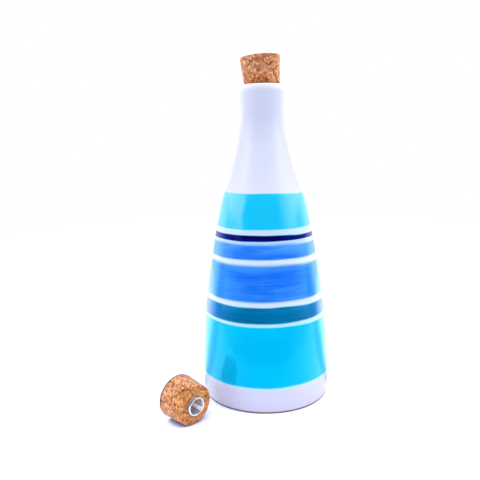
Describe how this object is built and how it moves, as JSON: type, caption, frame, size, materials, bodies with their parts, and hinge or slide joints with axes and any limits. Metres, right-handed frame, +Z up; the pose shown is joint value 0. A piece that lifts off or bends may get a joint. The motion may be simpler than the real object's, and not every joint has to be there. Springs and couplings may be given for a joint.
{
  "type": "ceramic oil bottle",
  "caption": "Tall glazed ceramic oil bottle with a sloping body, slim neck and painted blue bands, a tapered cork stopper, and a loose cork pourer with a metal tube beside it.",
  "frame": {"origin": "centre of the bottle's flat base, on the surface that it stands on", "axes": "+Z up along the bottle's axis; the loose pourer lies on the -X side with its narrow end towards -Y"},
  "size_m": [0.1364, 0.0926, 0.2399],
  "materials": {
    "glaze": "gloss",
    "cork": "matte",
    "pourer_cork": "matte",
    "steel": "polished"
  },
  "bodies": {
    "bottle": {"bottle_body": "glaze"},
    "stopper": {"cork_stopper": "cork"},
    "pourer": {"pourer_cork": "pourer_cork", "pour_tube": "steel", "pourer_disc": "steel", "air_tube": "steel"}
  },
  "joints": [
    {"name": "stopper_lift", "type": "slide", "parent": "bottle", "child": "stopper", "axis": [0, 0, 1], "range_m": [0, 0.05]},
    {"name": "pourer_lift", "type": "slide", "parent": "bottle", "child": "pourer", "axis": [0, 0, 1], "range_m": [0, 0.08]}
  ]
}
